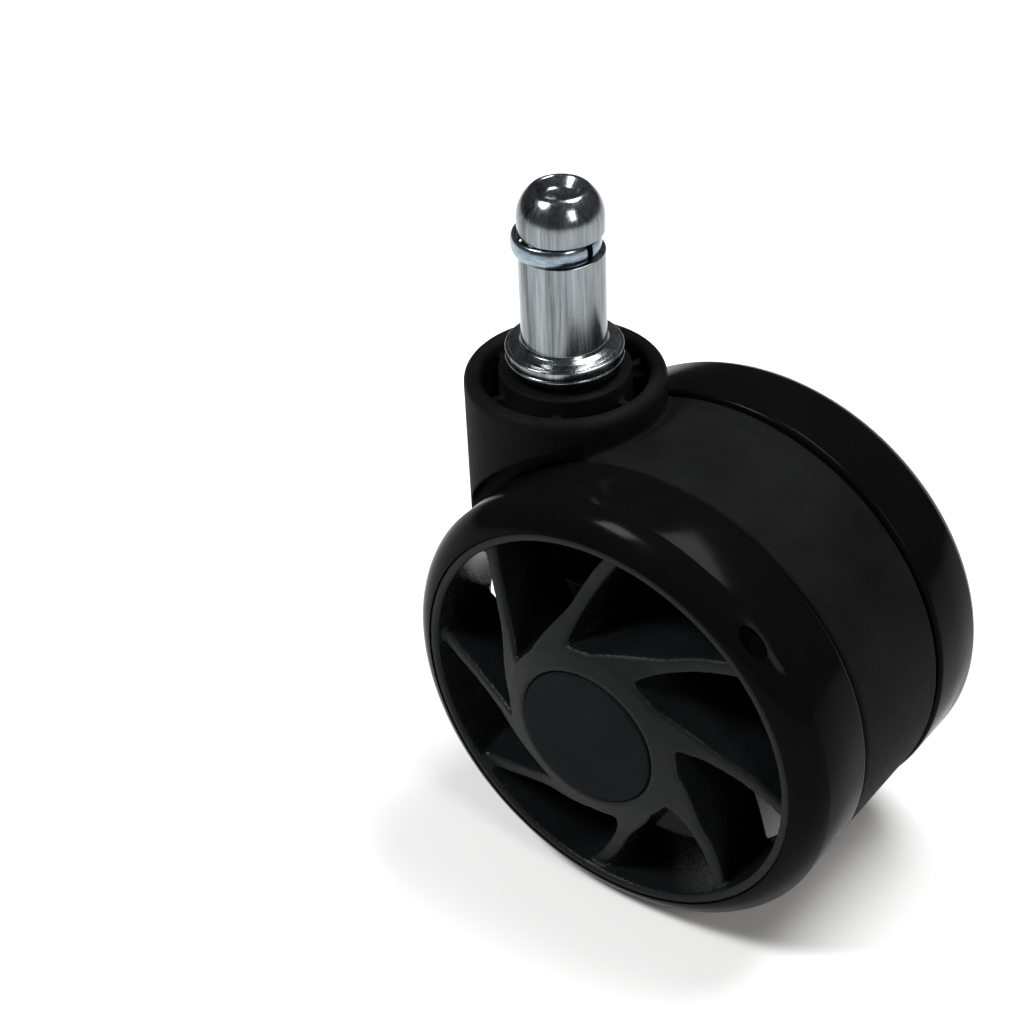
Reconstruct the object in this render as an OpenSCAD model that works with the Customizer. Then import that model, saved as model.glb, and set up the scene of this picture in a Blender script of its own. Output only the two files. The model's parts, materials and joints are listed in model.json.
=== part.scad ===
// Twin-wheel swivel caster for an office chair, with a plug-in grip-ring stem.
// The origin is on the stem's axis, where its plain shank starts just above
// the collar. +Z points up the stem, +X from the stem towards the axle and
// +Y along the axle. The right wheel is on the -Y side.

/* [Wheels] */
// Diameter over the tread
wheel_d = 63; // [62:0.5:63]
// Distance of the axle behind the stem's axis
trail = 20.2; // [20:0.1:20.6]
// Depth of the axle below the start of the stem's shank
axle_drop = 39.4; // [39.2:0.1:40]
// Height of each wheel's inner tread edge from the caster's middle plane
tread_inner = 9.4; // [9.4:0.1:9.7]
// Outer lip of the wheel, from the middle plane
lip_out = 21.5; // [21.2:0.1:21.8]
// Face of the hub cap, from the middle plane
cap_out = 24.8; // [24.6:0.1:25.2]
// Diameter of the opening inside the wheel's lip
face_d = 53.2; // [52.8:0.2:53.4]
// Diameter of the hub cap
cap_d = 19.3; // [18.6:0.1:19.4]

/* [Blades] */
// Number of blades in a wheel
blade_count = 8; // [6:1:8]
// Thickness of a blade half way out
blade_t = 2.3; // [1.9:0.1:2.7]
// How far the rim end of a blade trails, in degrees for each unit of ln(radius)
blade_sweep = 34.5; // [25:0.5:40]
// Turn of the whole set of blades at the middle radius, in degrees
blade_phase = 4.5; // [0:0.5:20]
// Extra thickness where one side of a blade runs into the hub
blade_flare = 4.4; // [3:0.1:5]
// Inner edge of the blades, from the middle plane
blade_in = 11; // [10.8:0.1:14]

/* [Stem] */
// Diameter of the stem
stem_d = 11; // [11:0.05:11.2]
// Height of the stem above the start of its shank
stem_h = 21.4; // [21.2:0.1:22]
// Diameter of the collar
collar_d = 15.2; // [15:0.1:15.4]
// Bottom of the grip ring's groove
groove_z = 12.9; // [12.6:0.1:13.1]
// Height of the grip ring's groove
groove_h = 2.7; // [2.6:0.1:2.8]
// How far the loose grip ring lies off centre
ring_float = 0.65; // [0:0.05:0.65]

/* [Housing] */
// Outer diameter of the boss around the stem
boss_d = 26.2; // [26:0.1:26.4]
// Height of the boss's rim
boss_rim_z = -4.6; // [-5:0.1:-4.2]
// Number of ribs between the inner tube and the boss
rib_count = 6; // [4:1:8]
// Half the width of the hood between the wheels
hood_half = 9; // [8.9:0.1:9]
// Angle at which the hood's free end stops, from +X about the axle
hood_end = -48; // [-52:1:-40]
// Half the thickness of the web inside the hood
web_half = 2.6; // [2:0.1:3]

/* [Hidden] */
$fn = 96;

// Colours
steel = [0.74, 0.75, 0.78];
nylon = [0.10, 0.10, 0.11];
rubber = [0.05, 0.05, 0.055];
acetal = [0.82, 0.81, 0.76];

// Side of the caster that a wheel is on
right = 0;
left = 180;

// Wheel, as radii and as distances from the caster's middle plane
wheel_r = wheel_d / 2;
face_r = face_d / 2;
lip_r = face_r + 1.3;
shoulder_w = 17.85;
shoulder_bulge = 0.6;
rim_in_r = face_r - 0.3;
hub_r = 13;
hub_in = 9.9;
hub_out = cap_out - 0.1;
hub_drop = 0.9;
cap_fit_r = cap_d / 2 + 0.15;
cap_floor = cap_out - 1.8;
recess_r = 8;
recess_floor = cap_out - 5.2;
blade_mid_r = 21;
blade_tip_r = face_r + 0.3;
blade_root_r = hub_r - 2.5;
blade_steps = 14;
flare_r = 19;
crest_r = 16.3;
mark_angle = 46.6;
mark_r = 30.5;
mark_w = lip_out - 1.9;

// Axle and what runs on it
axle_r = 4;
axle_half = cap_out - 2.2;
bush_r = 5.5;
running = 0.03;
clip_w = recess_floor + 1.2;
clip_t = 0.8;
clip_r = 7.2;
thrust_r = 9.4;
thrust_t = 0.8;
web_face = 8.8;

// Stem: the dome is an ellipse with a dimple in its top
stem_r = stem_d / 2;
dome_rx = stem_r - 0.8;
dome_ry = 4.9;
dome_z = stem_h - 4;
dome_end = 52;
dimple_r = 3.05;
ring_r = stem_r + 0.2;
ring_in_r = stem_r - 0.55;
ring_bulge = 0.4;
groove_r = stem_r - 1.3;

// Stem below the shank
fillet = 0.3;
collar_low = -1.9;
washer_t = 1.3;
washer_r = collar_d / 2 + 0.05;
washer_low = collar_low - washer_t;
spigot_r = 5;
spigot_low = -28.3;
snap_z = -26.2;
snap_h = 1.1;

// Housing
boss_r = boss_d / 2;
pocket_r = boss_r - 2.4;
tube_r = 8.6;
tube_top = washer_low - 0.8;
pocket_z = -15.7;
boss_low = -31;
sleeve_r = 6.8;
sleeve_low = snap_z + snap_h + 0.3;
chamber_r = 6.3;
chamber_low = -28.9;
hood_r = wheel_r - 0.3;
hood_t = 2.8;
hood_start = 150;
web_end = hood_end + 18;
arch_r = wheel_r + 1.8;
arch_skin = 1.5;
side_step = 0.15;
rib_t = 1.2;
rib_drop = 1.7;
axle_boss_r = 11;
web_disc_r = 14.7;
web_disc_half = web_half + 0.5;
web_start = 7;

// Points on an arc of an ellipse, from angle a to angle b in n steps
function arc(cx, cy, rx, ry, a, b, n) =
    [for (i = [0:n]) let (t = a + (b - a) * i / n) [cx + rx * cos(t), cy + ry * sin(t)]];

// Angle of a blade's middle line at radius r: a logarithmic spiral
function blade_angle(r) = blade_phase - blade_sweep * ln(r / blade_mid_r);

// How much thicker the trailing side of a blade is at radius r
function flare(r) = blade_flare * pow(max(0, (flare_r - r) / (flare_r - hub_r)), 2);

// A point beside a blade's middle line, offset by d along the circle
function beside(r, d) =
    let (a = blade_angle(r) + d / r * 180 / PI) [r * cos(a), r * sin(a)];

// Radius of step i along a blade
function blade_r(i) = blade_root_r + (blade_tip_r - blade_root_r) * i / blade_steps;

// Puts a wheel part, drawn about +Z with +Z outwards, on its side of the axle
module on_axle(side) {
    translate([trail, 0, -axle_drop]) rotate([0, 0, side]) rotate([90, 0, 0]) children();
}

// A sector of a solid of revolution about the axle, from angle a to angle b
module about_axle(a, b) {
    translate([trail, 0, -axle_drop]) rotate([90, 0, 0]) rotate([0, 0, a])
        rotate_extrude(angle = b - a) children();
}

// A plain ring about +Z
module ring(r_out, r_in, z_low, z_high) {
    difference() {
        translate([0, 0, z_low]) cylinder(r = r_out, h = z_high - z_low);
        translate([0, 0, z_low - 1]) cylinder(r = r_in, h = z_high - z_low + 2);
    }
}

module stem() {
    color(steel) rotate_extrude() polygon(concat(
        [[0, spigot_low], [spigot_r - 0.8, spigot_low], [spigot_r, spigot_low + 0.8]],
        [[spigot_r, snap_z], [spigot_r - 0.95, snap_z]],
        [[spigot_r - 0.95, snap_z + snap_h], [spigot_r, snap_z + snap_h]],
        [[spigot_r, collar_low], [collar_d / 2 - 0.2, collar_low]],
        [[collar_d / 2, collar_low + 0.2], [collar_d / 2, -0.85]],
        [[collar_d / 2 - 0.4, -0.5], [stem_r + fillet + 0.5, -fillet]],
        arc(stem_r + fillet, 0, fillet, fillet, 270, 180, 4),
        [[stem_r, groove_z], [groove_r, groove_z + 0.15]],
        [[groove_r, groove_z + groove_h - 0.15], [stem_r, groove_z + groove_h]],
        arc(stem_r - dome_rx, dome_z, dome_rx, dome_ry, 0, dome_end, 10),
        [[dimple_r + 0.3, stem_h], [dimple_r, stem_h - 0.3]],
        [[dimple_r - 0.9, stem_h - 1.2], [0, stem_h - 1.8]]
    ));
}

module grip_ring() {
    gap = 10;
    gap_at = -6;
    high = groove_h - 0.3;
    color(steel) translate(-ring_float * [0.775, 0.632, 0])
        translate([0, 0, groove_z + 0.15]) rotate([0, 0, gap_at + gap / 2])
        rotate_extrude(angle = 360 - gap) polygon(concat(
            [[ring_in_r, 0]],
            arc(ring_r - ring_bulge, high / 2, ring_bulge, high / 2, -90, 90, 10),
            [[ring_in_r, high]]
        ));
}

module collar_washer() {
    color(steel) ring(washer_r, spigot_r, washer_low, collar_low);
}

module stem_snap_ring() {
    color(steel) rotate([0, 0, 20]) rotate_extrude(angle = 320)
        translate([spigot_r - 0.9, snap_z + 0.15]) square([1.55, snap_h - 0.3]);
}

// The boss: a round cup with a rounded rim
module boss() {
    lip = (boss_r - pocket_r) / 2;
    rotate_extrude() polygon(concat(
        [[0, boss_low], [boss_r - 1.5, boss_low], [boss_r, boss_low + 1.5]],
        arc(boss_r - lip, boss_rim_z - lip, lip, lip, 0, 180, 12),
        [[pocket_r, pocket_z], [0, pocket_z]]
    ));
}

// Room for the wheels under the overhanging sides of the boss
module arches(grow) {
    for (s = [-1, 1])
        translate([trail, s * (hood_half - side_step - grow + 10), -axle_drop]) rotate([90, 0, 0])
            cylinder(r = arch_r + grow, h = 20, center = true);
}

// Room in the hollow of the cup, which leaves a skin over the wheels
module pocket() {
    difference() {
        ring(pocket_r, tube_r, pocket_z, boss_rim_z + 20);
        arches(arch_skin);
    }
}

// The hood that covers the gap between the wheels, and the web that carries it
module hood() {
    about_axle(hood_end, hood_start) polygon([
        [hood_r - hood_t, -hood_half], [hood_r - 0.4, -hood_half],
        [hood_r, 0.4 - hood_half], [hood_r, hood_half - 0.4],
        [hood_r - 0.4, hood_half], [hood_r - hood_t, hood_half],
    ]);
    about_axle(web_end, hood_start)
        translate([web_start, -web_half]) square([hood_r - hood_t + 1 - web_start, 2 * web_half]);
    translate([trail, 0, -axle_drop]) rotate([90, 0, 0]) {
        cylinder(r = web_disc_r, h = 2 * web_disc_half, center = true);
        cylinder(r = axle_boss_r, h = 2 * web_face, center = true);
    }
    rotate([90, 0, 0]) linear_extrude(height = 2 * web_half, center = true)
        polygon([[1 - boss_r, -23], [1 - boss_r, boss_low + 1], [-5, -36.5],
                 [trail - 8, -axle_drop - web_disc_r + 3], [trail, -axle_drop]]);
}

// The radial ribs in the cup, between the tube and the boss's wall
module ribs() {
    for (i = [0:rib_count - 1])
        rotate([0, 0, 360 * i / rib_count])
            translate([tube_r - 0.5, -rib_t / 2, pocket_z - 0.5])
            cube([pocket_r - tube_r + 1, rib_t, boss_rim_z - rib_drop - pocket_z + 0.5]);
}

// The skin that closes the hollow of the cup over the wheels
module skin() {
    intersection() {
        ring(pocket_r + 0.5, tube_r - 0.5, pocket_z - 0.5, boss_rim_z - 1);
        arches(arch_skin);
    }
}

// The boss with its skin, ribs and tube, cut away over the wheels
module cup() {
    difference() {
        union() {
            boss();
            skin();
            ribs();
            translate([0, 0, boss_low + 1]) cylinder(r = tube_r, h = tube_top - boss_low - 1);
        }
        arches(0);
    }
}

module housing() {
    color(nylon) difference() {
        union() {
            cup();
            difference() {
                hood();
                pocket();
            }
        }
        translate([0, 0, sleeve_low]) cylinder(r = sleeve_r, h = 30);
        translate([0, 0, chamber_low]) cylinder(r = chamber_r, h = 10);
        translate([trail, 0, -axle_drop]) rotate([90, 0, 0])
            cylinder(r = axle_r, h = 40, center = true);
    }
}

module swivel_sleeve() {
    color(nylon) ring(sleeve_r, spigot_r + running, sleeve_low, tube_top);
}

// The axle: a plain pin with a clip groove near each end
module axle() {
    w = axle_half;
    g = clip_w - 0.05;
    color(steel) on_axle(right) rotate_extrude() polygon([
        [0, -w], [axle_r - 0.5, -w], [axle_r, 0.5 - w],
        [axle_r, -g - clip_t - 0.1], [axle_r - 0.75, -g - clip_t - 0.1],
        [axle_r - 0.75, -g], [axle_r, -g],
        [axle_r, g], [axle_r - 0.75, g],
        [axle_r - 0.75, g + clip_t + 0.1], [axle_r, g + clip_t + 0.1],
        [axle_r, w - 0.5], [axle_r - 0.5, w], [0, w],
    ]);
}

module thrust_washer(side) {
    color(acetal) on_axle(side) ring(thrust_r, axle_r + 0.2, web_face, web_face + thrust_t);
}

// A snap clip, open on one side so that it can be pushed on
module axle_clip(side) {
    color(steel) on_axle(side) difference() {
        ring(clip_r, axle_r - 0.7, clip_w, clip_w + clip_t);
        translate([0, -2.6, clip_w - 1]) cube([10, 5.2, clip_t + 2]);
    }
}

// The blades' outline, seen from outside the wheel
module blade_outline() {
    lead = [for (i = [0:blade_steps]) beside(blade_r(i), -blade_t / 2)];
    trailing = [for (i = [blade_steps:-1:0])
        beside(blade_r(i), blade_t / 2 + flare(blade_r(i)))];
    polygon(concat(lead, trailing));
}

module blades() {
    intersection() {
        rotate_extrude() polygon([
            [blade_root_r, blade_in], [blade_tip_r, blade_in], [blade_tip_r, lip_out - 1.2],
            [blade_mid_r, lip_out - 0.5], [crest_r, lip_out + 0.8], [hub_r, hub_out - hub_drop],
            [blade_root_r, hub_out - hub_drop],
        ]);
        linear_extrude(height = lip_out + 5)
            for (i = [0:blade_count - 1]) rotate(360 * i / blade_count) blade_outline();
    }
}

// Rim, blades and hub, moulded in one
module wheel_core(side) {
    color(nylon) on_axle(side) difference() {
        union() {
            rotate_extrude() polygon([
                [rim_in_r, tread_inner + 0.5], [lip_r, tread_inner + 0.5],
                [lip_r, lip_out], [face_r, lip_out],
            ]);
            blades();
            rotate_extrude() polygon([
                [bush_r - 1, hub_in], [hub_r - 1, hub_in], [hub_r, hub_in + 1],
                [hub_r, hub_out - hub_drop], [hub_r - 1, hub_out - 0.3],
                [cap_fit_r + 0.5, hub_out], [bush_r - 1, hub_out],
            ]);
        }
        translate([0, 0, hub_in - 1]) cylinder(r = bush_r, h = 20);
        translate([0, 0, recess_floor]) cylinder(r = recess_r, h = 20);
        translate([0, 0, cap_floor]) cylinder(r = cap_fit_r, h = 20);
    }
}

// The small oval gate mark on the tread's shoulder
module gate_mark() {
    depth = 1.2;
    slot_r = 1.1;
    reach = 1.3;
    rotate([0, 0, mark_angle]) translate([mark_r, 0, mark_w]) rotate([0, 45, 0])
        translate([0, 0, -depth]) {
            for (s = [-1, 1]) translate([0, s * reach, 0]) cylinder(r = slot_r, h = 3);
            translate([-slot_r, -reach, 0]) cube([2 * slot_r, 2 * reach, 3]);
        }
}

// Points on the round shoulder, between the flat of the tread and the lip
function shoulder() =
    let (dr = wheel_r - lip_r, dw = lip_out - shoulder_w, chord = norm([dr, dw]),
         r = (pow(chord / 2, 2) + pow(shoulder_bulge, 2)) / (2 * shoulder_bulge),
         half = asin(chord / 2 / r), lean = atan2(dr, dw),
         cr = (wheel_r + lip_r) / 2 - (r - shoulder_bulge) * cos(lean),
         cw = (lip_out + shoulder_w) / 2 - (r - shoulder_bulge) * sin(lean))
    arc(cr, cw, r, r, lean - half, lean + half, 12);

module tread(side) {
    color(rubber) on_axle(side) difference() {
        rotate_extrude() polygon(concat(
            [[lip_r, tread_inner], [wheel_r - 0.6, tread_inner], [wheel_r, tread_inner + 0.6]],
            shoulder()
        ));
        gate_mark();
    }
}

module hub_cap(side) {
    cap_r = cap_d / 2;
    color(nylon) on_axle(side) rotate_extrude() polygon([
        [0, cap_floor], [recess_r - 0.9, cap_floor], [recess_r - 0.9, clip_w + clip_t + 0.3],
        [recess_r - 0.05, clip_w + clip_t + 0.3], [recess_r - 0.05, cap_floor],
        [cap_r, cap_floor], [cap_r, cap_out - 0.35], [cap_r - 0.35, cap_out], [0, cap_out],
    ]);
}

module wheel_bush(side) {
    color(acetal) on_axle(side) {
        ring(bush_r, axle_r + running, hub_in, recess_floor);
        ring(clip_r, axle_r + running, recess_floor, recess_floor + 0.9);
    }
}

stem();
grip_ring();
collar_washer();
stem_snap_ring();
housing();
swivel_sleeve();
axle();
thrust_washer(right);  // thrust_washer_right
thrust_washer(left);  // thrust_washer_left
axle_clip(right);  // axle_clip_right
axle_clip(left);  // axle_clip_left
wheel_core(right);  // wheel_core_right
wheel_core(left);  // wheel_core_left
tread(right);  // tread_right
tread(left);  // tread_left
hub_cap(right);  // hub_cap_right
hub_cap(left);  // hub_cap_left
wheel_bush(right);  // wheel_bush_right
wheel_bush(left);  // wheel_bush_left
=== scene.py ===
import json
import math

import bmesh
import bpy
from mathutils import Matrix, Vector


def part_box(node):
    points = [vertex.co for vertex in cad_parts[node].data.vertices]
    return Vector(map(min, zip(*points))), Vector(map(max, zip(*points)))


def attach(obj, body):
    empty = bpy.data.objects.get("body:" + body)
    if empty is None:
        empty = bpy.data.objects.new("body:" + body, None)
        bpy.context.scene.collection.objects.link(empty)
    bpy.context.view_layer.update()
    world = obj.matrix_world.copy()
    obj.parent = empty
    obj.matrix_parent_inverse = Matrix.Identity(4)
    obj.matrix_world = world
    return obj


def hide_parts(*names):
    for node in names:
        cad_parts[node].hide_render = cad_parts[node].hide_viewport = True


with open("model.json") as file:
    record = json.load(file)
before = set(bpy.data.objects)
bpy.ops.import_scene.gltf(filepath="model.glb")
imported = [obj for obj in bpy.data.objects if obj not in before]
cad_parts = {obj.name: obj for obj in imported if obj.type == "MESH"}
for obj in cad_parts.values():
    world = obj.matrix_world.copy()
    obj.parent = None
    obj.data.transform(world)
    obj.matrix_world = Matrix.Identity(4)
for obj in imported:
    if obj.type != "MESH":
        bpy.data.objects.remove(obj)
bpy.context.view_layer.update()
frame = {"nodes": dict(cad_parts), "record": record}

bl_info = {
    "name": "Swivel caster",
    "version": (1, 0, 0),
    "blender": (4, 5, 0),
    "location": "3D View > Sidebar > Caster",
    "description": "Finishes a twin-wheel chair caster around its packed model",
    "category": "Object",
}

MM = 0.001
SIDES = ("right", "left")


def middle(node):
    """The middle of a node's box."""
    low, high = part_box(node)
    return (Vector(low) + Vector(high)) / 2


TREAD_LOW, TREAD_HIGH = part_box("tread_right")
AXLE = Vector((middle("tread_right").x, 0, middle("tread_right").z))
WHEEL_R = (TREAD_HIGH[0] - TREAD_LOW[0]) / 2
LIP_W = -TREAD_LOW[1]
TREAD_IN_W = -TREAD_HIGH[1]
CAP_LOW, CAP_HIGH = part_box("hub_cap_right")
CAP_R = (CAP_HIGH[0] - CAP_LOW[0]) / 2
CAP_W = -CAP_LOW[1]
COLLAR_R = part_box("stem")[1][0]
STEM_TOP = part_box("stem")[1][2]
FLOOR_Z = TREAD_LOW[2]

# Stem below its shank
SPIGOT_R = 5.0 * MM
SPIGOT_LOW = -28.3 * MM
SNAP_R = 4.05 * MM
SNAP_LOW = -26.2 * MM
SNAP_HIGH = -25.1 * MM
COLLAR_LOW = -1.9 * MM
COLLAR_EDGE = -0.62 * MM

# Grip ring
RING_IN = 4.95 * MM
RING_OUT = 5.7 * MM
RING_BULGE = 0.4 * MM
RING_SIDE = Vector((-0.775, -0.632, 0))

# Wheel core, as radii and as distances from the caster's middle plane
LIP_IN = 26.6 * MM
RIM_IN = 26.2 * MM
HUB_R = 13.0 * MM
HUB_IN = 9.9 * MM
BUSH_R = 5.5 * MM
RECESS_R = 8 * MM
RECESS_FLOOR = CAP_W - 5.2 * MM
CAP_FLOOR = CAP_W - 1.8 * MM
HUB_EDGE = CAP_W - 1.05 * MM

# Blades
BLADE_COUNT = 8
BLADE_ROOT = 10.5 * MM
BLADE_MIDDLE = 21.0 * MM
BLADE_IN = 11.0 * MM
FLARE = 4.4 * MM
FLARE_START = 19 * MM
FLARE_REACH = 6 * MM

# Gate mark on the tread's shoulder
GATE_ACROSS = 1.1 * MM
GATE_ALONG = 2.4 * MM
GATE_DEPTH = 1.2 * MM
GATE_TURN = math.radians(46.6)
GATE_LEAN = math.radians(45)
GATE_R = 30.5 * MM
GATE_W = LIP_W - 1.9 * MM


# ---------------------------------------------------------------- sizes and colours

def length(name, description, default):
    return bpy.props.FloatProperty(name=name, description=description, default=default,
                                   unit="LENGTH", precision=5, min=0)


def turn(name, description, default):
    return bpy.props.FloatProperty(name=name, description=description,
                                   default=math.radians(default), subtype="ANGLE")


def colour(name, description, default):
    return bpy.props.FloatVectorProperty(name=name, description=description, default=default,
                                         subtype="COLOR", size=3, min=0, max=1)


class CasterWheelSizes(bpy.types.PropertyGroup):
    """Shape of the wheels"""
    lip: length("Lip", "Width of the flat lip around the wheel's face", 1.3 * MM)
    edge: length("Edge radius", "Radius of the tread's inner edge", 0.6 * MM)
    shoulder: length("Shoulder", "How far the round shoulder starts inside the lip", 3.65 * MM)
    bulge: length("Shoulder bulge", "Rise of the shoulder's arc over its chord", 0.6 * MM)
    cap_edge: length("Cap edge", "Radius of the hub cap's edge", 0.35 * MM)
    cap_crown: length("Cap crown", "Rise of the hub cap's middle over its edge", 0.1 * MM)
    blade: length("Blade", "Thickness of a blade at its ridge", 2.1 * MM)
    draft: turn("Blade draft", "Lean of a blade's walls", 7.0)
    sweep: turn("Blade sweep", "Turn of a blade for each unit of ln(radius)", 34.5)
    phase: turn("Blade phase", "Turn of the first blade at the middle radius", 4.5)


class CasterStemSizes(bpy.types.PropertyGroup):
    """Shape of the stem and its ring"""
    shank: length("Shank", "Radius of the stem", 5.5 * MM)
    groove: length("Groove", "Radius at the bottom of the ring's groove", 4.2 * MM)
    dimple: length("Dimple", "Radius of the dimple in the stem's top", 3.05 * MM)
    dimple_depth: length("Dimple depth", "Depth of the dimple", 1.8 * MM)
    gap: turn("Ring gap", "Opening of the split grip ring", 10)
    ring_float: length("Ring float", "How far the loose ring lies off the stem's axis", 0.65 * MM)
    gap_at: turn("Ring gap's place", "Where the ring's opening points, from +X", -6)


class CasterMouldSizes(bpy.types.PropertyGroup):
    """How the moulded parts are rounded"""
    grain: length("Mesh grain", "Size of the cells that the moulded parts are rounded with", 0.24 * MM)
    rounds: bpy.props.IntProperty(name="Rounding passes", default=7, min=0,
                                  description="Smoothing passes, which round the housing's edges")
    wheel_rounds: bpy.props.IntProperty(name="Wheel rounding passes", default=22, min=0,
                                        description="Smoothing passes, which round the wheels' edges")
    faces: bpy.props.IntProperty(name="Triangles", default=180000, min=1000,
                                 description="Most triangles in one moulded part")


class CasterColours(bpy.types.PropertyGroup):
    """Colours of the finishes"""
    steel: colour("Plating", "Zinc plating on the stem", (0.20, 0.22, 0.23))
    spring: colour("Spring steel", "Zinc plating on the rings and clips", (0.20, 0.25, 0.29))
    housing: colour("Housing", "Nylon of the housing", (0.0044, 0.0045, 0.0046))
    wheel: colour("Wheel", "Nylon of the wheels", (0.0044, 0.0048, 0.0051))
    cap: colour("Cap", "Nylon of the hub caps", (0.0056, 0.0066, 0.0070))
    tread: colour("Tread", "Polyurethane of the treads", (0.0018, 0.0018, 0.0019))
    acetal: colour("Bearings", "Acetal of the bearings", (0.76, 0.75, 0.70))
    floor: colour("Floor", "Floor", (0.86, 0.86, 0.86))


class CasterStage(bpy.types.PropertyGroup):
    """Camera and light"""
    azimuth: turn("Azimuth", "Turn of the camera about the stem, from the -Y side", 39.27)
    elevation: turn("Elevation", "Height of the camera over the floor", 36.49)
    roll: turn("Roll", "Roll of the camera", -2.9)
    distance: length("Distance", "Distance of the camera from the point it is aimed at", 275.2 * MM)
    aim: bpy.props.FloatVectorProperty(name="Aim", description="Point that the camera is aimed at",
                                       default=(2.21 * MM, -14.92 * MM, -17.49 * MM),
                                       subtype="XYZ", unit="LENGTH", size=3)
    lens: bpy.props.FloatProperty(name="Lens", description="Focal length in millimetres", default=76.4)
    floor_reach: length("Floor", "Radius of the floor", 0.9)


class CasterSettings(bpy.types.PropertyGroup):
    """All the caster's settings"""
    wheel: bpy.props.PointerProperty(type=CasterWheelSizes, name="Wheels", description="Wheel sizes")
    stem: bpy.props.PointerProperty(type=CasterStemSizes, name="Stem", description="Stem sizes")
    mould: bpy.props.PointerProperty(type=CasterMouldSizes, name="Moulding", description="Rounding")
    colours: bpy.props.PointerProperty(type=CasterColours, name="Colours", description="Colours")
    stage: bpy.props.PointerProperty(type=CasterStage, name="Stage", description="Camera and light")


# ---------------------------------------------------------------- finishes

class Wire:
    """A socket's value. Arithmetic on it adds Math nodes to its tree."""

    def __init__(self, tree, socket):
        self.tree = tree
        self.socket = socket

    def math(self, operation, *values):
        node = self.tree.nodes.new("ShaderNodeMath")
        node.operation = operation
        for place, value in zip(node.inputs, values):
            plug(self.tree, place, value)
        return Wire(self.tree, node.outputs[0])

    def __add__(self, other):
        return self.math("ADD", self, other)

    def __radd__(self, other):
        return self.math("ADD", other, self)

    def __sub__(self, other):
        return self.math("SUBTRACT", self, other)

    def __rsub__(self, other):
        return self.math("SUBTRACT", other, self)

    def __mul__(self, other):
        return self.math("MULTIPLY", self, other)

    def __rmul__(self, other):
        return self.math("MULTIPLY", other, self)


def plug(tree, place, value):
    """Links a Wire to a socket, or sets the socket's own value."""
    if isinstance(value, Wire):
        tree.links.new(value.socket, place)
    else:
        place.default_value = value


class Finish:
    """A material whose surface is one Principled shader."""

    def __init__(self, name, metallic=0.0, specular=0.5):
        self.material = bpy.data.materials.new(name)
        self.material.use_nodes = True
        self.tree = self.material.node_tree
        self.shader = self.tree.nodes["Principled BSDF"]
        self.shader.inputs["Metallic"].default_value = metallic
        self.shader.inputs["Specular IOR Level"].default_value = specular
        self.place = self.node("ShaderNodeTexCoord", output="Object")

    def node(self, kind, settings=None, inputs=None, output=0):
        made = self.tree.nodes.new(kind)
        for key, value in (settings or {}).items():
            setattr(made, key, value)
        for key, value in (inputs or {}).items():
            plug(self.tree, made.inputs[key], value)
        return Wire(self.tree, made.outputs[output])

    def stretched(self, x, y, z):
        """Object coordinates, stretched by a factor along each axis."""
        return self.node("ShaderNodeVectorMath", {"operation": "MULTIPLY"}, {0: self.place, 1: (x, y, z)})

    def noise(self, size, detail=2.0, roughness=0.5, place=None):
        """Noise from 0 to 1 whose features are about size metres across."""
        return self.node("ShaderNodeTexNoise", {"noise_dimensions": "3D"},
                         {"Vector": place or self.place, "Scale": 1 / size, "Detail": detail,
                          "Roughness": roughness}, "Fac")

    def ranged(self, value, low, high, to_low=0.0, to_high=1.0):
        """A value stretched from one range to another, and kept inside it."""
        return self.node("ShaderNodeMapRange", {"clamp": True},
                         {"Value": value, "From Min": low, "From Max": high,
                          "To Min": to_low, "To Max": to_high})

    def tinted(self, factor, dark, light):
        return self.node("ShaderNodeMix", {"data_type": "RGBA"},
                         {0: factor, 6: (*dark, 1), 7: (*light, 1)}, 2)

    def bump(self, height, strength, distance, under=None):
        inputs = {"Height": height, "Strength": strength, "Distance": distance}
        if under:
            inputs["Normal"] = under
        return self.node("ShaderNodeBump", {}, inputs)

    def finish(self, colour, roughness, normal=None):
        plug(self.tree, self.shader.inputs["Base Color"], colour)
        plug(self.tree, self.shader.inputs["Roughness"], roughness)
        if normal:
            plug(self.tree, self.shader.inputs["Normal"], normal)
        return self.material


def shade(colour, factor):
    return tuple(min(1, part * factor) for part in colour)


def plating(name, colour, lean=(1, 1, 0.04)):
    """Bright zinc with drawn streaks, small pits and cloudy patches; broad dark and light bands in its
    colour are painted reflections.
    """
    f = Finish(name, metallic=1.0)
    streaks = f.noise(0.35 * MM, 3, 0.6, f.stretched(*lean))
    broad_painted_reflection = f.noise(2.6 * MM, 2, 0.5, f.stretched(*lean))
    clouds = f.noise(5 * MM, 3)
    pits = f.ranged(f.noise(0.22 * MM, 2), 0.60, 0.72)
    # The broad bands that run from dark to light in the colour are painted reflections; the fine streaks
    # are real drawing marks.
    tone = f.ranged(broad_painted_reflection * 0.55 + streaks * 0.45, 0.35, 0.65)
    rough = f.ranged(streaks * 0.5 + clouds * 0.5, 0.3, 0.7, 0.13, 0.27)
    normal = f.bump(streaks, 0.25, 0.012 * MM)
    normal = f.bump(pits, 0.35, 0.01 * MM, normal)
    # The wide swing from 0.34 to 1.45 of the colour carries the painted reflection bands.
    return f.finish(f.tinted(tone, shade(colour, 0.34), shade(colour, 1.45)), rough, normal)


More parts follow.
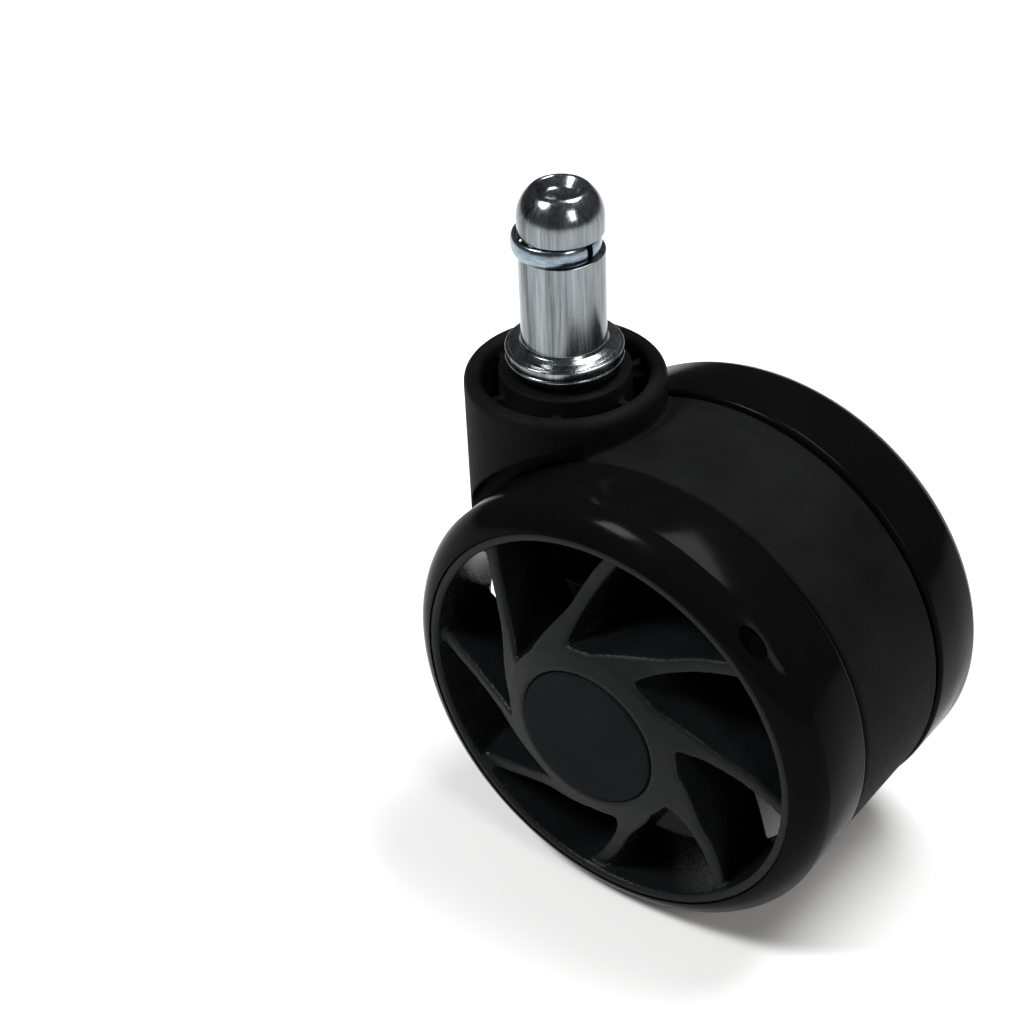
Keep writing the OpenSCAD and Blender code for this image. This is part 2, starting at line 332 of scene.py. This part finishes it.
def grained(name, colour, grain, depth, roughness, specular, wear=1.6, sparkle=0.0):
    """Moulded nylon with a spark-eroded grain and dusty patches.

    Sparkle makes the walls of a wheel glossier and coarser.
    """
    f = Finish(name, specular=specular)
    fine = f.noise(grain, 3, 0.6)
    coarse = f.noise(grain * 3.2, 2, 0.5)
    patches = f.noise(9 * MM, 4, 0.6)
    scuffs = f.ranged(f.noise(2.2 * MM, 5, 0.7, f.stretched(1, 0.35, 1)), 0.60, 0.78)
    tone = f.ranged(patches * 0.6 + fine * 0.4, 0.35, 0.65)
    base = f.tinted(tone, shade(colour, 0.75), shade(colour, wear))
    rough = f.ranged(patches * 0.5 + coarse * 0.5, 0.3, 0.7, roughness - 0.07, roughness + 0.07)
    rough = rough - scuffs * 0.08
    normal = f.bump(coarse, 0.5, depth)
    normal = f.bump(fine, 0.6, depth, normal)
    if sparkle:
        wall = f.ranged(f.node("ShaderNodeAttribute", {"attribute_name": "wall"}, {}, "Fac"), 0.35, 0.8)
        eroded = f.noise(grain * 1.5, 2, 0.6)
        rough = rough - wall * sparkle
        normal = f.bump(eroded * wall, 1.0, depth * 3, normal)
    return f.finish(base, rough, normal)


def polished(name, colour, roughness, specular):
    """Smooth cast polyurethane: soft gloss, faint flow marks, dust and fine scratches."""
    f = Finish(name, specular=specular)
    flow = f.noise(7 * MM, 3, 0.5)
    dust = f.ranged(f.noise(0.5 * MM, 4, 0.7), 0.60, 0.75)
    scratches = f.ranged(f.noise(0.4 * MM, 2, 0.5, f.stretched(0.12, 1, 0.12)), 0.60, 0.70)
    base = f.tinted(dust * 0.6 + flow * 0.3, colour, shade(colour, 2.6))
    rough = f.ranged(flow, 0.3, 0.7, roughness - 0.05, roughness + 0.07) + dust * 0.12 + scratches * 0.06
    normal = f.bump(flow, 0.2, 0.10 * MM)
    normal = f.bump(scratches, 0.15, 0.008 * MM, normal)
    return f.finish(base, rough, normal)


def waxy(name, colour):
    """Natural acetal: waxy, with faint turning marks."""
    f = Finish(name, specular=0.4)
    marks = f.noise(0.3 * MM, 3, 0.6)
    clouds = f.noise(3 * MM, 2)
    rough = f.ranged(clouds, 0.3, 0.7, 0.28, 0.42)
    return f.finish(f.tinted(clouds, shade(colour, 0.9), colour), rough, f.bump(marks, 0.2, 0.02 * MM))


def painted_floor(colour):
    f = Finish("floor_paint", specular=0.1)
    speck = f.noise(1.2 * MM, 3, 0.5)
    rough = f.ranged(speck, 0.3, 0.7, 0.75, 0.85)
    return f.finish(f.tinted(f.noise(60 * MM, 2), shade(colour, 0.99), colour), rough,
                    f.bump(speck, 0.05, 0.05 * MM))


FINISHES = {}


def finishes(context):
    """Makes the finishes, by the names of the record's material slots."""
    colours = context.scene.caster.colours
    recipes = {
        "plated_steel": lambda n: plating(n, tuple(colours.steel)),
        "spring_steel": lambda n: plating(n, tuple(colours.spring), (0.3, 0.3, 1)),
        "housing_nylon": lambda n: grained(n, tuple(colours.housing), 0.30 * MM, 0.030 * MM, 0.55, 0.015),
        "wheel_nylon": lambda n: grained(n, tuple(colours.wheel), 0.22 * MM, 0.035 * MM, 0.54, 0.11,
                                         sparkle=0.30),
        "cap_nylon": lambda n: grained(n, tuple(colours.cap), 0.20 * MM, 0.015 * MM, 0.58, 0.018, 1.3),
        "tread_rubber": lambda n: polished(n, tuple(colours.tread), 0.13, 0.018),
        "acetal": lambda n: waxy(n, tuple(colours.acetal)),
    }
    for name, recipe in recipes.items():
        FINISHES[name] = recipe("finish_" + name)
    return FINISHES


# ---------------------------------------------------------------- shapes

def arc(cx, cy, rx, ry, start, end, steps=8):
    """Points on an arc of an ellipse, with its angles in degrees."""
    turns = [math.radians(start + (end - start) * i / steps) for i in range(steps + 1)]
    return [(cx + rx * math.cos(t), cy + ry * math.sin(t)) for t in turns]


def rounded(corners, steps=5):
    """An outline whose corners, given as (x, y, radius), are rounded."""
    points = []
    for i, (x, y, radius) in enumerate(corners):
        if not radius or i in (0, len(corners) - 1):
            points.append((x, y))
            continue
        here = Vector((x, y))
        back = (Vector(corners[i - 1][:2]) - here).normalized()
        on = (Vector(corners[i + 1][:2]) - here).normalized()
        half = back.angle(on) / 2
        reach = radius / math.tan(half)
        centre = here + (back + on).normalized() * radius / math.sin(half)
        first = here + back * reach - centre
        last = here + on * reach - centre
        sweep = first.angle_signed(last)
        for k in range(steps + 1):
            spoke = first.copy()
            spoke.rotate(Matrix.Rotation(-sweep * k / steps, 2))
            points.append(tuple(centre + spoke))
    return points


def spin_profile(bm, profile, steps=128, sweep=360.0, closed=False):
    """Turns a profile of (radius, height) points about Z. A part turn gets end faces."""
    verts = [bm.verts.new((r, 0, h)) for r, h in profile]
    pairs = list(zip(verts, verts[1:]))
    if closed:
        pairs.append((verts[-1], verts[0]))
    edges = [bm.edges.new(pair) for pair in pairs]
    full = sweep == 360.0
    geometry = verts + edges
    if closed and not full:
        geometry.append(bm.faces.new(verts))
    bmesh.ops.spin(bm, geom=geometry, axis=(0, 0, 1), cent=(0, 0, 0), dvec=(0, 0, 0),
                   angle=math.radians(sweep), steps=steps, use_merge=full, use_duplicate=False)
    bmesh.ops.remove_doubles(bm, verts=bm.verts, dist=0.0005 * MM)


def on_axle(bm, side):
    """Moves a wheel part, drawn about +Z with +Z outwards, to its side of the axle."""
    turn_out = Matrix.Rotation(math.pi / 2, 4, "X")
    if side == "left":
        turn_out = Matrix.Rotation(math.pi, 4, "Z") @ turn_out
    bmesh.ops.transform(bm, matrix=Matrix.Translation(AXLE) @ turn_out, verts=bm.verts)


def piece(name, bm, slot, sharp=35):
    """Makes an object of a bmesh, with smooth shading and its finish."""
    bmesh.ops.remove_doubles(bm, verts=bm.verts, dist=0.0005 * MM)
    bmesh.ops.dissolve_degenerate(bm, edges=bm.edges, dist=0.0002 * MM)
    bmesh.ops.recalc_face_normals(bm, faces=bm.faces)
    mesh = bpy.data.meshes.new(name)
    bm.to_mesh(mesh)
    bm.free()
    return shown(name, mesh, slot, sharp)


def shown(name, mesh, slot, sharp=35):
    mesh.shade_smooth()
    if sharp:
        mesh.set_sharp_from_angle(angle=math.radians(sharp))
    made = bpy.data.objects.new(name, mesh)
    bpy.context.scene.collection.objects.link(made)
    mesh.materials.append(FINISHES[slot])
    return made


def moulded(name, bm, slot, settings, rounds):
    """Fuses a bmesh's overlapping solids and rounds their edges, as a mould does."""
    mesh = bpy.data.meshes.new(name + "_raw")
    bm.to_mesh(mesh)
    bm.free()
    raw = bpy.data.objects.new(name + "_raw", mesh)
    bpy.context.scene.collection.objects.link(raw)
    fuse = raw.modifiers.new("fuse", "REMESH")
    fuse.mode = "VOXEL"
    fuse.voxel_size = settings.grain
    soften = raw.modifiers.new("soften", "SMOOTH")
    soften.factor = 0.5
    soften.iterations = rounds
    graph = bpy.context.evaluated_depsgraph_get()
    count = 2 * len(raw.evaluated_get(graph).data.polygons)
    if count > settings.faces:
        thin = raw.modifiers.new("thin", "DECIMATE")
        thin.ratio = settings.faces / count
    graph = bpy.context.evaluated_depsgraph_get()
    final = bpy.data.meshes.new_from_object(raw.evaluated_get(graph))
    final.name = name
    bpy.data.objects.remove(raw)
    return shown(name, final, slot, sharp=0)


def mark_walls(mesh):
    """Writes how far each point of a wheel faces away from the axle's direction."""
    walls = mesh.attributes.new("wall", "FLOAT", "POINT")
    walls.data.foreach_set("value", [1 - abs(v.normal.y) for v in mesh.vertices])


# ---------------------------------------------------------------- operators

class CASTER_OT_finishes(bpy.types.Operator):
    """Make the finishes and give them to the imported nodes"""
    bl_idname = "caster.finishes"
    bl_label = "Finishes"

    def execute(self, context):
        made = finishes(context)
        for part in frame["record"]["subparts"]:
            node = frame["nodes"][part["node"]]
            node.data.materials.clear()
            node.data.materials.append(made[part["material_slot"]])
        return {"FINISHED"}


class CASTER_OT_stem(bpy.types.Operator):
    """Build the turned stem with its collar, groove and domed head"""
    bl_idname = "caster.stem"
    bl_label = "Stem"

    def execute(self, context):
        s = context.scene.caster.stem
        ring_low, ring_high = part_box("grip_ring")
        groove_low, groove_high = ring_low[2] - 0.15 * MM, ring_high[2] + 0.15 * MM
        dome_low = STEM_TOP - 4 * MM
        dome_rx, dome_ry = s.shank - 0.8 * MM, 4.9 * MM
        outline = [(0, SPIGOT_LOW, 0), (SPIGOT_R, SPIGOT_LOW, 0.7 * MM), (SPIGOT_R, SNAP_LOW, 0),
                   (SNAP_R, SNAP_LOW, 0), (SNAP_R, SNAP_HIGH, 0), (SPIGOT_R, SNAP_HIGH, 0),
                   (SPIGOT_R, COLLAR_LOW, 0), (COLLAR_R, COLLAR_LOW, 0.2 * MM),
                   (COLLAR_R, COLLAR_EDGE, 0.22 * MM), (COLLAR_R - 0.42 * MM, COLLAR_EDGE, 0.06 * MM),
                   (COLLAR_R - 0.5 * MM, -0.45 * MM, 0.1 * MM), (6.4 * MM, -0.28 * MM, 0.3 * MM),
                   (s.shank + 0.25 * MM, 0.02 * MM, 0.25 * MM), (s.shank, 0.4 * MM, 0.3 * MM),
                   (s.shank, groove_low, 0.12 * MM), (s.groove, groove_low + 0.15 * MM, 0.1 * MM),
                   (s.groove, groove_high - 0.15 * MM, 0.1 * MM), (s.shank, groove_high, 0.15 * MM),
                   (s.shank, dome_low, 0)]
        crown = arc(s.shank - dome_rx, dome_low, dome_rx, dome_ry, 3, 52, 16)
        tip = rounded([(*crown[-1], 0), (s.dimple + 0.1 * MM, STEM_TOP + 0.02 * MM, 0.35 * MM),
                       (s.dimple - 0.9 * MM, STEM_TOP - 1.2 * MM, 0.8 * MM),
                       (0, STEM_TOP - s.dimple_depth, 0)])
        bm = bmesh.new()
        spin_profile(bm, rounded(outline) + crown + tip[1:], 144)
        made = piece("stem_turned", bm, "plated_steel", 40)
        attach(made, "stem")
        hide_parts("stem")
        return {"FINISHED"}


class CASTER_OT_rings(bpy.types.Operator):
    """Build the split grip ring and the collar's washer"""
    bl_idname = "caster.rings"
    bl_label = "Grip ring and washer"

    def execute(self, context):
        s = context.scene.caster.stem
        low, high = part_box("grip_ring")
        half = (high[2] - low[2]) / 2
        edge = 0.1 * MM
        belly = arc(RING_OUT - RING_BULGE, low[2] + half, RING_BULGE, half, -90, 90, 14)
        profile = [(RING_IN, low[2] + edge), (RING_IN + edge, low[2])] + belly
        profile += [(RING_IN + edge, high[2]), (RING_IN, high[2] - edge)]
        bm = bmesh.new()
        spin_profile(bm, profile, 120, 360 - math.degrees(s.gap), closed=True)
        loose = RING_SIDE * s.ring_float
        placed = Matrix.Translation(loose) @ Matrix.Rotation(s.gap_at + s.gap / 2, 4, "Z")
        bmesh.ops.transform(bm, matrix=placed, verts=bm.verts)
        ring = piece("grip_ring_split", bm, "spring_steel")
        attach(ring, "grip_ring")
        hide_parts("grip_ring")

        low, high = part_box("collar_washer")
        outer = high[0]
        profile = rounded([(SPIGOT_R, low[2], 0), (outer - 0.1 * MM, low[2], 0.55 * MM),
                           (outer, high[2], 0.25 * MM), (SPIGOT_R, high[2], 0)])
        bm = bmesh.new()
        spin_profile(bm, profile, 144, closed=True)
        washer = piece("collar_washer_formed", bm, "plated_steel")
        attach(washer, "stem")
        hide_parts("collar_washer")
        return {"FINISHED"}


class CASTER_OT_housing(bpy.types.Operator):
    """Round the moulded housing's edges"""
    bl_idname = "caster.housing"
    bl_label = "Housing"

    def execute(self, context):
        bm = bmesh.new()
        bm.from_mesh(frame["nodes"]["housing"].data)
        bmesh.ops.remove_doubles(bm, verts=bm.verts, dist=0.001 * MM)
        mould = context.scene.caster.mould
        made = moulded("housing_moulded", bm, "housing_nylon", mould, mould.rounds)
        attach(made, "housing")
        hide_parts("housing")
        return {"FINISHED"}


class CASTER_OT_cores(bpy.types.Operator):
    """Build the bladed wheel cores"""
    bl_idname = "caster.cores"
    bl_label = "Wheel cores"

    def ridge(self, r):
        """Height of a blade's ridge from the middle plane at radius r."""
        stops = ((HUB_R, HUB_EDGE), (16.3 * MM, LIP_W + 0.75 * MM),
                 (BLADE_MIDDLE, LIP_W - 0.5 * MM), (27 * MM, LIP_W - 1.2 * MM))
        if r <= stops[0][0]:
            return stops[0][1]
        for (r0, w0), (r1, w1) in zip(stops, stops[1:]):
            if r <= r1:
                return w0 + (w1 - w0) * (r - r0) / (r1 - r0)
        return stops[-1][1]

    def blade(self, bm, sizes, number):
        """One blade: a block drawn out along a logarithmic spiral, with drafted walls."""
        block = bmesh.new()
        bmesh.ops.create_cube(block, size=1)
        for axis, cuts in ((0, 36), (2, 8)):
            across = [e for e in block.edges if abs(e.verts[0].co[axis] - e.verts[1].co[axis]) > 1e-6]
            bmesh.ops.subdivide_edges(block, edges=across, cuts=cuts, use_grid_fill=True)
        for v in block.verts:
            along, beside, up = v.co.x + 0.5, v.co.y * 2, v.co.z + 0.5
            r = BLADE_ROOT + (LIP_IN + 0.4 * MM - BLADE_ROOT) * along
            top = self.ridge(r)
            w = BLADE_IN + (top - BLADE_IN) * up
            half = sizes.blade / 2 + (top - w) * math.tan(sizes.draft)
            if beside > 0:
                half += FLARE * max(0, (FLARE_START - r) / FLARE_REACH) ** 2
            swept = sizes.phase - sizes.sweep * math.log(r / BLADE_MIDDLE)
            angle = swept + math.tau * number / BLADE_COUNT + beside * half / r
            v.co = (r * math.cos(angle), r * math.sin(angle), w)
        mesh = bpy.data.meshes.new("blade")
        block.to_mesh(mesh)
        block.free()
        bm.from_mesh(mesh)
        bpy.data.meshes.remove(mesh)

    def execute(self, context):
        settings = context.scene.caster
        sizes = settings.wheel
        bm = bmesh.new()
        lip_out = LIP_IN + sizes.lip
        hub_top = CAP_W - 0.1 * MM
        seat = CAP_R + 0.12 * MM
        rim = rounded([(RIM_IN, TREAD_IN_W + 0.5 * MM, 0), (lip_out, TREAD_IN_W + 0.5 * MM, 0),
                       (lip_out, LIP_W, 0), (LIP_IN, LIP_W, 0)])
        spin_profile(bm, rim, 144, closed=True)
        hub = rounded([(BUSH_R, HUB_IN, 0), (HUB_R - 1 * MM, HUB_IN, 0),
                       (HUB_R, 10.9 * MM, 0), (HUB_R, HUB_EDGE, 0.4 * MM),
                       (seat + 0.3 * MM, hub_top, 0.3 * MM), (seat, hub_top, 0),
                       (seat, CAP_FLOOR, 0), (RECESS_R, CAP_FLOOR, 0),
                       (RECESS_R, RECESS_FLOOR, 0), (BUSH_R, RECESS_FLOOR, 0)])
        spin_profile(bm, hub, 144, closed=True)
        for number in range(BLADE_COUNT):
            self.blade(bm, sizes, number)
        bmesh.ops.recalc_face_normals(bm, faces=bm.faces)
        on_axle(bm, "right")
        right = moulded("wheel_core_right_moulded", bm, "wheel_nylon", settings.mould,
                        settings.mould.wheel_rounds)
        mark_walls(right.data)
        copied = bmesh.new()
        copied.from_mesh(right.data)
        half_turn = Matrix.Translation(AXLE) @ Matrix.Rotation(math.pi, 4, "Z") @ Matrix.Translation(-AXLE)
        bmesh.ops.transform(copied, matrix=half_turn, verts=copied.verts)
        mesh = bpy.data.meshes.new("wheel_core_left_moulded")
        copied.to_mesh(mesh)
        copied.free()
        left = shown("wheel_core_left_moulded", mesh, "wheel_nylon", sharp=0)
        for side, made in zip(SIDES, (right, left)):
            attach(made, "wheel_" + side)
            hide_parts("wheel_core_" + side)
        return {"FINISHED"}


class CASTER_OT_treads(bpy.types.Operator):
    """Build the cast treads with their round shoulders and gate marks"""
    bl_idname = "caster.treads"
    bl_label = "Treads"

    def shoulder(self, sizes, lip_r):
        """The arc from the flat of the tread to the lip."""
        dr, dw = WHEEL_R - lip_r, sizes.shoulder
        chord = math.hypot(dr, dw)
        radius = ((chord / 2) ** 2 + sizes.bulge ** 2) / (2 * sizes.bulge)
        half = math.degrees(math.asin(chord / 2 / radius))
        lean = math.degrees(math.atan2(dr, dw))
        drop = radius - sizes.bulge
        cr = (WHEEL_R + lip_r) / 2 - drop * math.cos(math.radians(lean))
        cw = LIP_W - dw / 2 - drop * math.sin(math.radians(lean))
        return arc(cr, cw, radius, radius, lean - half, lean + half, 20)

    def gate_mark(self):
        """An oval pad that is cut out of the shoulder."""
        cutter = bmesh.new()
        bmesh.ops.create_circle(cutter, cap_ends=True, radius=1, segments=40)
        bmesh.ops.scale(cutter, vec=(GATE_ACROSS, GATE_ALONG, 1), verts=cutter.verts)
        lifted = bmesh.ops.extrude_face_region(cutter, geom=cutter.faces[:])
        bmesh.ops.translate(cutter, vec=(0, 0, 3 * MM),
                            verts=[v for v in lifted["geom"] if isinstance(v, bmesh.types.BMVert)])
        bmesh.ops.translate(cutter, vec=(0, 0, -GATE_DEPTH), verts=cutter.verts)
        placed = (Matrix.Rotation(GATE_TURN, 4, "Z") @ Matrix.Translation((GATE_R, 0, GATE_W))
                  @ Matrix.Rotation(GATE_LEAN, 4, "Y"))
        bmesh.ops.transform(cutter, matrix=placed, verts=cutter.verts)
        bmesh.ops.recalc_face_normals(cutter, faces=cutter.faces)
        return cutter

    def cut(self, body, cutter):
        """Cuts one bmesh out of another by a Boolean modifier."""
        objects = []
        for name, bm in (("body", body), ("cutter", cutter)):
            mesh = bpy.data.meshes.new(name)
            bm.to_mesh(mesh)
            bm.free()
            made = bpy.data.objects.new(name, mesh)
            bpy.context.scene.collection.objects.link(made)
            objects.append(made)
        carve = objects[0].modifiers.new("carve", "BOOLEAN")
        carve.operation = "DIFFERENCE"
        carve.solver = "EXACT"
        carve.object = objects[1]
        graph = bpy.context.evaluated_depsgraph_get()
        result = bmesh.new()
        result.from_mesh(objects[0].evaluated_get(graph).to_mesh())
        for made in objects:
            bpy.data.objects.remove(made)
        return result

    def execute(self, context):
        sizes = context.scene.caster.wheel
        lip_r = LIP_IN + sizes.lip
        inner = rounded([(lip_r, TREAD_IN_W + 0.4 * MM, 0), (lip_r, TREAD_IN_W, 0.2 * MM),
                         (WHEEL_R, TREAD_IN_W, sizes.edge), (WHEEL_R, TREAD_IN_W + 4 * MM, 0)], 8)
        for side in SIDES:
            bm = bmesh.new()
            spin_profile(bm, inner + self.shoulder(sizes, lip_r), 192, closed=True)
            bmesh.ops.recalc_face_normals(bm, faces=bm.faces)
            bm = self.cut(bm, self.gate_mark())
            on_axle(bm, side)
            made = piece("tread_" + side + "_cast", bm, "tread_rubber", 40)
            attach(made, "wheel_" + side)
            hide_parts("tread_" + side)
        return {"FINISHED"}


class CASTER_OT_caps(bpy.types.Operator):
    """Build the hub caps"""
    bl_idname = "caster.caps"
    bl_label = "Hub caps"

    def execute(self, context):
        sizes = context.scene.caster.wheel
        tail = -CAP_HIGH[1]
        rim = CAP_W - sizes.cap_crown
        skirt_in, skirt_out = 7.1 * MM, 7.95 * MM
        outline = [(0, CAP_FLOOR, 0), (skirt_in, CAP_FLOOR, 0), (skirt_in, tail, 0),
                   (skirt_out, tail, 0.2 * MM), (skirt_out, CAP_FLOOR, 0),
                   (CAP_R, CAP_FLOOR, 0), (CAP_R, rim, sizes.cap_edge),
                   (CAP_R * 0.75, CAP_W - 0.03 * MM, 12 * MM), (0, CAP_W, 0)]
        for side in SIDES:
            bm = bmesh.new()
            spin_profile(bm, rounded(outline, 6), 128)
            on_axle(bm, side)
            made = piece("hub_cap_" + side + "_moulded", bm, "cap_nylon", 40)
            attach(made, "wheel_" + side)
            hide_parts("hub_cap_" + side)
        return {"FINISHED"}


class CASTER_OT_stage(bpy.types.Operator):
    """Lay the floor, set the lights and aim the camera"""
    bl_idname = "caster.stage"
    bl_label = "Stage"

    def light(self, name, place, target, size, power, tint=(1, 1, 1)):
        lamp = bpy.data.lights.new(name, "AREA")
        lamp.shape = "RECTANGLE"
        lamp.size, lamp.size_y = size
        lamp.energy = power
        lamp.color = tint
        made = bpy.data.objects.new(name, lamp)
        made.location = place
        made.rotation_euler = (Vector(place) - Vector(target)).to_track_quat("Z", "Y").to_euler()
        bpy.context.scene.collection.objects.link(made)

    def execute(self, context):
        scene = context.scene
        s = scene.caster.stage
        bm = bmesh.new()
        bmesh.ops.create_circle(bm, cap_ends=True, radius=s.floor_reach, segments=96)
        bmesh.ops.translate(bm, vec=(0, 0, FLOOR_Z), verts=bm.verts)
        mesh = bpy.data.meshes.new("floor")
        bm.to_mesh(mesh)
        bm.free()
        floor = bpy.data.objects.new("floor", mesh)
        mesh.materials.append(painted_floor(tuple(scene.caster.colours.floor)))
        scene.collection.objects.link(floor)

        right = Vector((math.cos(s.azimuth), math.sin(s.azimuth), 0))
        back = Vector((math.sin(s.azimuth) * math.cos(s.elevation),
                       -math.cos(s.azimuth) * math.cos(s.elevation), math.sin(s.elevation)))
        up = back.cross(right)
        camera = bpy.data.objects.new("camera", bpy.data.cameras.new("camera"))
        camera.data.sensor_width = 36
        camera.data.lens = s.lens
        camera.data.clip_start = 0.01
        turned = Matrix((right, up, back)).transposed().to_4x4() @ Matrix.Rotation(s.roll, 4, "Z")
        camera.matrix_world = Matrix.Translation(Vector(s.aim) + back * s.distance) @ turned
        scene.collection.objects.link(camera)
        scene.camera = camera

        world = bpy.data.worlds.new("studio")
        world.use_nodes = True
        sky = world.node_tree.nodes["Background"].inputs
        sky["Color"].default_value = (0.82, 0.84, 0.88, 1)
        sky["Strength"].default_value = 0.13
        scene.world = world
        scene.view_settings.view_transform = "Standard"
        self.light("key", (-0.25, -0.35, 0.55), (0, 0, -0.02), (0.18, 0.18), 5.2)
        self.light("top", (0.15, 0.25, 0.65), (0.01, 0, -0.03), (0.40, 0.25), 6.4)
        self.light("fill", (0.60, -0.20, 0.35), (0.02, 0, -0.04), (0.16, 0.30), 1.6, (1, 0.97, 0.93))
        return {"FINISHED"}


class CASTER_PT_panel(bpy.types.Panel):
    """Lists the caster's steps"""
    bl_idname = "CASTER_PT_panel"
    bl_label = "Caster"
    bl_space_type = "VIEW_3D"
    bl_region_type = "UI"
    bl_category = "Caster"

    def draw(self, context):
        for step in STEPS:
            self.layout.operator(step.bl_idname)


STEPS = (CASTER_OT_finishes, CASTER_OT_stem, CASTER_OT_rings, CASTER_OT_housing, CASTER_OT_cores,
         CASTER_OT_treads, CASTER_OT_caps, CASTER_OT_stage)
GROUPS = (CasterWheelSizes, CasterStemSizes, CasterMouldSizes, CasterColours, CasterStage, CasterSettings)


def register():
    for kind in (*GROUPS, *STEPS, CASTER_PT_panel):
        bpy.utils.register_class(kind)
    bpy.types.Scene.caster = bpy.props.PointerProperty(type=CasterSettings)


def unregister():
    del bpy.types.Scene.caster
    for kind in reversed((*GROUPS, *STEPS, CASTER_PT_panel)):
        bpy.utils.unregister_class(kind)


def main():
    register()
    bpy.ops.caster.finishes()
    bpy.ops.caster.stem()
    bpy.ops.caster.rings()
    bpy.ops.caster.housing()
    bpy.ops.caster.cores()
    bpy.ops.caster.treads()
    bpy.ops.caster.caps()
    bpy.ops.caster.stage()


if __name__ == "__main__":
    main()
